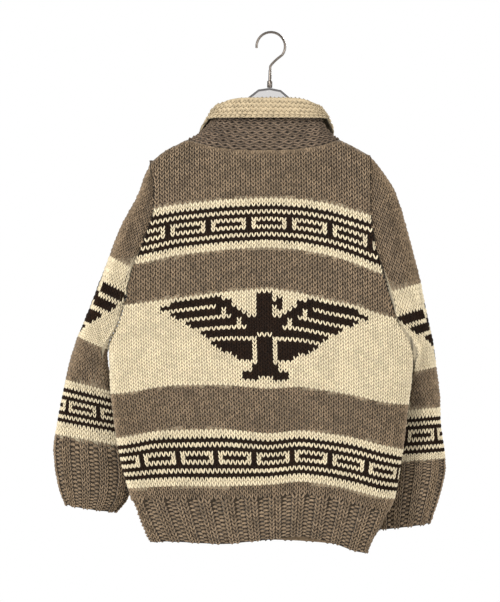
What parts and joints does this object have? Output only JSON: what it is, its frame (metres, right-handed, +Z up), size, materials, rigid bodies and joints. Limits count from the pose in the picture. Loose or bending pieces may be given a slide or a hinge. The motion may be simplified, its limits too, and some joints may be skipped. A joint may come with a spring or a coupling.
{
  "type": "cowichan cardigan on a clear plastic hanger",
  "caption": "Thick hand-knitted cowichan cardigan with a folded shawl collar, lapped button front and ribbed hem and cuffs, hanging on a clear plastic hanger with a wire hook.",
  "frame": {"origin": "inside top of the hanger's hook, where a rail carries it", "axes": "+Z up; -Y towards the cardigan's front, so its back faces +Y; +X towards the wearer's left"},
  "size_m": [0.6928, 0.1693, 0.9142],
  "materials": {
    "brown_wool": "undyed brown wool, stocking stitch",
    "cream_wool": "undyed cream wool, garter stitch",
    "button_wood": "turned and waxed",
    "clear_plastic": "clear moulded polystyrene",
    "hook_metal": "bright plated wire"
  },
  "bodies": {
    "root": {"back": "brown_wool", "front_left": "brown_wool", "front_right": "brown_wool", "band_left": "brown_wool", "band_right": "brown_wool", "sleeve_left": "brown_wool", "sleeve_right": "brown_wool", "collar": "cream_wool", "button_1": "button_wood", "button_2": "button_wood", "button_3": "button_wood", "button_4": "button_wood", "button_5": "button_wood", "hanger_body": "clear_plastic", "hanger_ferrule": "hook_metal", "hanger_hook": "hook_metal"}
  },
  "joints": []
}
